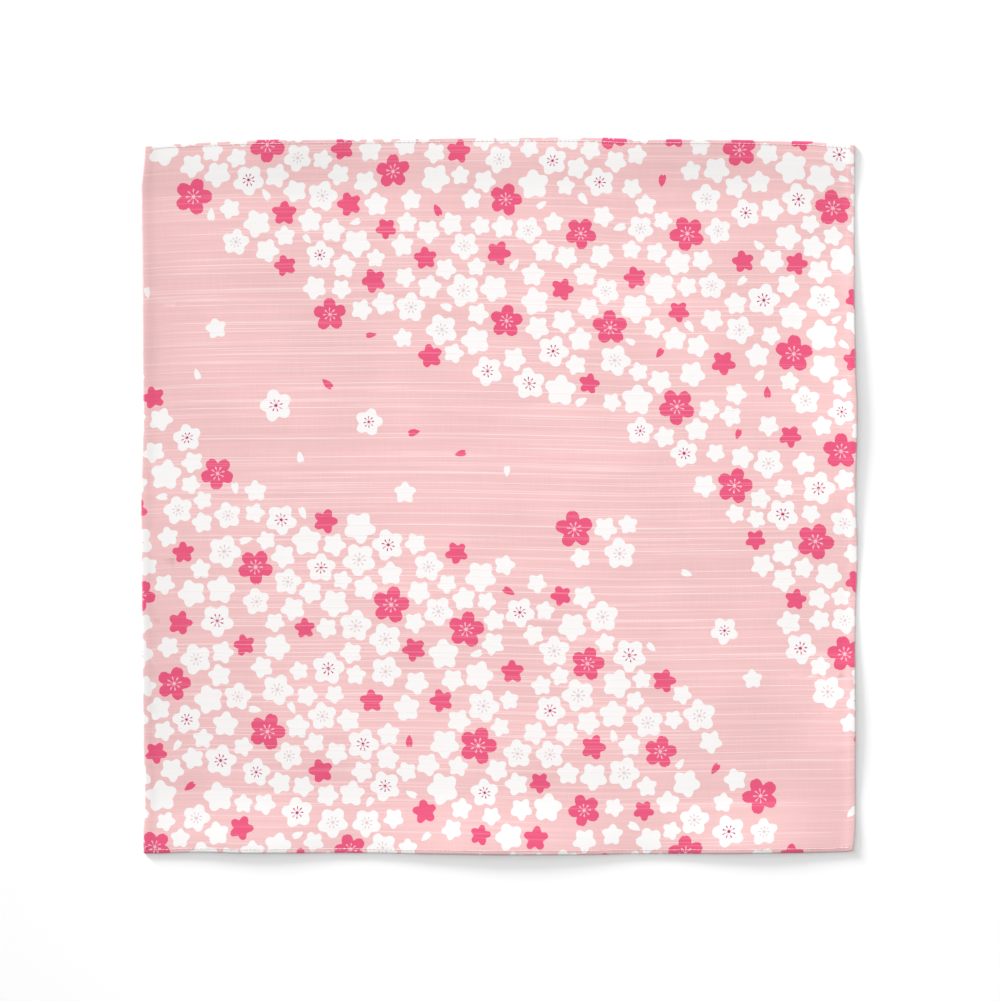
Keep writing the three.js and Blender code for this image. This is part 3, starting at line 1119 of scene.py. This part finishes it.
across_cloth, along_cloth, _ = add("SeparateXYZ", {0: weave_place})
threads = yarn(THREAD_PITCH, THREAD_CHANGES)
bands = yarn(BAND_PITCH, BAND_CHANGES)
weft = cotton.threads(weave_place, WEFT_CHANGES, THREADS_PER_MM)
warp = cotton.threads(weave_place, THREADS_PER_MM, WARP_CHANGES)
cloud = cotton.threads(weave_place, *CLOUD_CHANGES)
thick_thread = add("Attribute", attribute_name="slub")["Fac"]
thick_thread = step(thick_thread, THICK_FROM, THICK_FULL)
thin_slubs = step(threads, THIN_FROM, THIN_FULL)
bare_thread = maths("MULTIPLY_ADD", thin_slubs, THIN_SHARE, thick_thread)
bare_thread = maths("MINIMUM", bare_thread, 1.0)

# %% [markdown]
# Ink on slub cotton is never even. The thick threads stay paler, the cloth clouds a little, and each
# fine thread has its own tone. The colours are picked as numbers here, then laid over one another as
# a printer would: ground, blossom, stamens, and last the threads that the ink missed.

# %% Colours of the print
PINK = (0.80, 0.497, 0.50, 1)
CRIMSON = (0.745, 0.090, 0.195, 1)
WHITE = (0.84, 0.83, 0.822, 1)
DARK_STAMEN = (0.49, 0.022, 0.14, 1)
PALE_STAMEN = (0.67, 0.53, 0.55, 1)
STAR_PINK = (0.84, 0.49, 0.565, 1)
MISSED = (0.90, 0.74, 0.745, 1)
MISSED_SHARE, MISSED_ON_CRIMSON = 0.7, 0.22
WRONG_SIDE_GHOST = 0.55

blossom_ink = blend(is_crimson, WHITE, CRIMSON)
stamen_colour = blend(is_pale, DARK_STAMEN, PALE_STAMEN)
stamen_colour = blend(is_crimson, stamen_colour, STAR_PINK)
printed = blend(ink, PINK, blossom_ink)
printed = blend(stamen_ink, printed, stamen_colour)
crimson_here = maths("MULTIPLY", is_crimson, ink)
missed = step(crimson_here, 0.0, 1.0, MISSED_SHARE, MISSED_ON_CRIMSON)
printed = blend(maths("MULTIPLY", bare_thread, missed), printed, MISSED)

# %% Tones of the threads and the woven edges
NOISE_SPAN = (0.3, 0.7)
TONES = (
    (threads, 0.965, 1.03),
    (bands, 0.989, 1.011),
    (weft, 0.977, 1.023),
    (warp, 0.985, 1.015),
    (cloud, 0.975, 1.025),
)
TONE_ON_WHITE = 0.3
STRIPES_PER_MM, STRIPE_TONE = 5.6, 0.035
BARE_EDGE, BARE_EDGE_SHARE = (1.1, 0.5), 0.25

from_side = maths("MINIMUM", across_cloth, maths("SUBTRACT", WIDTH, across_cloth))
in_selvedge = step(from_side, SELVEDGE_END, SELVEDGE_WIDTH)
stripe = maths("SINE", maths("MULTIPLY", from_side, STRIPES_PER_MM))
stripe = maths("MULTIPLY", maths("MULTIPLY", stripe, STRIPE_TONE), in_selvedge)
tone = maths("ADD", stripe, 1.0)
for noise, dark, bright in TONES:
    tone = maths("MULTIPLY", tone, step(noise, *NOISE_SPAN, dark, bright))
on_white = maths("MULTIPLY", ink, maths("SUBTRACT", 1.0, is_crimson))
tone_share = step(on_white, 0.0, 1.0, 1.0, TONE_ON_WHITE)
tone = choose(tone_share, 1.0, tone)
grey_tone = add("CombineColor", enumerate((tone, tone, tone)))[0]
toned = blend(1.0, printed, grey_tone, "MULTIPLY")
outermost = step(from_side, *BARE_EDGE, 0.0, BARE_EDGE_SHARE)
toned = blend(outermost, toned, MISSED)
ghost = blend(WRONG_SIDE_GHOST, WHITE, toned)
side_of_cloth = add("Attribute", attribute_name="wrong_side")["Fac"]
cotton.feed(cotton.surface.inputs["Base Color"], blend(side_of_cloth, toned, ghost))

# %% Relief of the weave, and its sheen
WEFT_RELIEF, WARP_RELIEF, SLUB_RELIEF = 0.9, 0.5, 0.6
RELIEF_MM, RELIEF_STRENGTH = 0.08, 0.1
SHEEN, SHEEN_ROUGHNESS = 0.12, 0.4
GLOSS = 0.2

warp_height = maths("MULTIPLY", warp, WARP_RELIEF)
height = maths("MULTIPLY_ADD", weft, WEFT_RELIEF, warp_height)
height = maths("MULTIPLY_ADD", bare_thread, SLUB_RELIEF, height)
cotton.bump(height, RELIEF_MM, RELIEF_STRENGTH)
cotton.surface.inputs["Sheen Weight"].default_value = SHEEN
cotton.surface.inputs["Sheen Roughness"].default_value = SHEEN_ROUGHNESS
cotton.surface.inputs["Specular IOR Level"].default_value = GLOSS
cloth_mesh.materials.append(cotton.material)
print("the printed cotton takes", len(cotton.nodes), "nodes")

# %% [markdown]
# Sewing thread is dyed to match and has a slight gloss from its twist. The twist runs slantwise, so
# fine slanting ridges are made from the place along the thread and the place across it.

# %% Finish of the thread
THREAD_ROUGHNESS = 0.62
TWISTS_PER_MM = 1.6
TWIST_SLANT = (1.0, 1.6, 1.2)
TWIST_MM, TWIST_STRENGTH = 0.03, 0.5
FUZZ_SCALE, FUZZ_SPAN = 0.7, (0.35, 0.65)
DARK_THREAD, LIGHT_THREAD = (0.68, 0.54, 0.55, 1), (0.80, 0.68, 0.685, 1)

sewing = Finish("matched sewing thread", THREAD_ROUGHNESS)
place = sewing.add("TexCoord")["Object"]
per_mm = tuple(part / MM for part in TWIST_SLANT)
twisted = sewing.add("VectorMath", {0: place, 1: per_mm}, operation="MULTIPLY")[0]
along_x, along_y, along_z = sewing.add("SeparateXYZ", {0: twisted})
slant = sewing.maths("ADD", along_x, sewing.maths("ADD", along_y, along_z))
twist = sewing.maths("SINE", sewing.maths("MULTIPLY", slant, 2 * math.pi * TWISTS_PER_MM))
fuzz = sewing.add("TexNoise", {"Vector": twisted, "Scale": FUZZ_SCALE})[0]
colour = sewing.blend(sewing.step(fuzz, *FUZZ_SPAN), DARK_THREAD, LIGHT_THREAD)
sewing.feed(sewing.surface.inputs["Base Color"], colour)
sewing.bump(twist, TWIST_MM, TWIST_STRENGTH)
for thread in hem_threads:
    thread.data.materials.append(sewing.material)

# %% [markdown]
# The cloth lies on a plain white floor. Its finish is white too, so that the soft shadow of the rim
# is all that shows on it.

# %% Floor
FLOOR_SIDE = 8
PAPER_ROUGHNESS = 0.9
PAPER_GRAIN = 40.0
PAPER_DARK, PAPER_LIGHT = (0.965, 0.965, 0.965, 1), (0.98, 0.98, 0.98, 1)

floor_mesh = bpy.data.meshes.new("floor")
corner_signs = ((-1, -1), (1, -1), (1, 1), (-1, 1))
floor_corners = [(x * FLOOR_SIDE / 2, y * FLOOR_SIDE / 2, 0) for x, y in corner_signs]
floor_mesh.from_pydata(floor_corners, [], [(0, 1, 2, 3)])
floor = bpy.data.objects.new("floor", floor_mesh)
bpy.context.scene.collection.objects.link(floor)
floor_finish = Finish("white paper floor", PAPER_ROUGHNESS)
paper = floor_finish.add("TexNoise", {"Scale": PAPER_GRAIN})[0]
paper_white = floor_finish.blend(paper, PAPER_DARK, PAPER_LIGHT)
floor_finish.feed(floor_finish.surface.inputs["Base Color"], paper_white)
floor_mesh.materials.append(floor_finish.material)
floor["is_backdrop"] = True

# %% [markdown]
# The light is what a catalogue uses: a big soft lamp overhead, white walls all round, and two soft
# lights from the upper left. The low one skims the cloth, so that the ridges show, and it draws the
# long end of the shadow along the right and near edges. The wide one makes that shadow start softly.
# Suns with wide discs stand for both, since their shadow is the same all along an edge.

# %% Light
WALLS_STRENGTH = 0.36
LAMP_HEIGHT = 0.85
LAMP_PLACE = (0.045, 0.05)
LAMP_SIZE = 0.5
LAMP_WATTS = 2.7
SIDE_LIGHTS_FROM = 135
SIDE_LIGHTS = (
    ("low light", 7, 10, 8.2),
    ("wide light", 19, 30, 1.35),
)

world = bpy.data.worlds.new("white walls")
world.use_nodes = True
world.node_tree.nodes["Background"].inputs["Color"].default_value = (1, 1, 1, 1)
world.node_tree.nodes["Background"].inputs["Strength"].default_value = WALLS_STRENGTH
bpy.context.scene.world = world
bpy.context.scene.view_settings.view_transform = "Standard"

lamp_data = bpy.data.lights.new("overhead lamp", "AREA")
lamp_data.shape = "DISK"
lamp_data.size = LAMP_SIZE
lamp_data.energy = LAMP_WATTS
lamp = bpy.data.objects.new("overhead lamp", lamp_data)
lamp.location = (*LAMP_PLACE, LAMP_HEIGHT)
lamp.visible_camera = False
bpy.context.scene.collection.objects.link(lamp)

for name, rise, disc, strength in SIDE_LIGHTS:
    sun_data = bpy.data.lights.new(name, "SUN")
    sun_data.energy = strength
    sun_data.angle = math.radians(disc)
    sun = bpy.data.objects.new(name, sun_data)
    flat, up = math.cos(math.radians(rise)), math.sin(math.radians(rise))
    from_left = math.radians(SIDE_LIGHTS_FROM)
    toward = Vector((math.cos(from_left) * flat, math.sin(from_left) * flat, up))
    sun.rotation_euler = toward.to_track_quat("Z", "Y").to_euler()
    bpy.context.scene.collection.objects.link(sun)

# %% [markdown]
# Last, each piece is hung on the one body of this part. The printed cloth and its sewing stand for
# the plain solid, which is hidden. The two boxes are printed, to show whether the dressed cloth kept
# its size.

for piece in (furoshiki, *hem_threads):
    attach(piece, "root")
    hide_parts("cloth")

# %% Boxes of the solid and of the dressed cloth
visual_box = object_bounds()
boxes = {"cad": cad_box, "visual": visual_box}
plain_boxes = {
    name: [[float(number) for number in corner] for corner in box] for name, box in boxes.items()
}
print(plain_boxes)
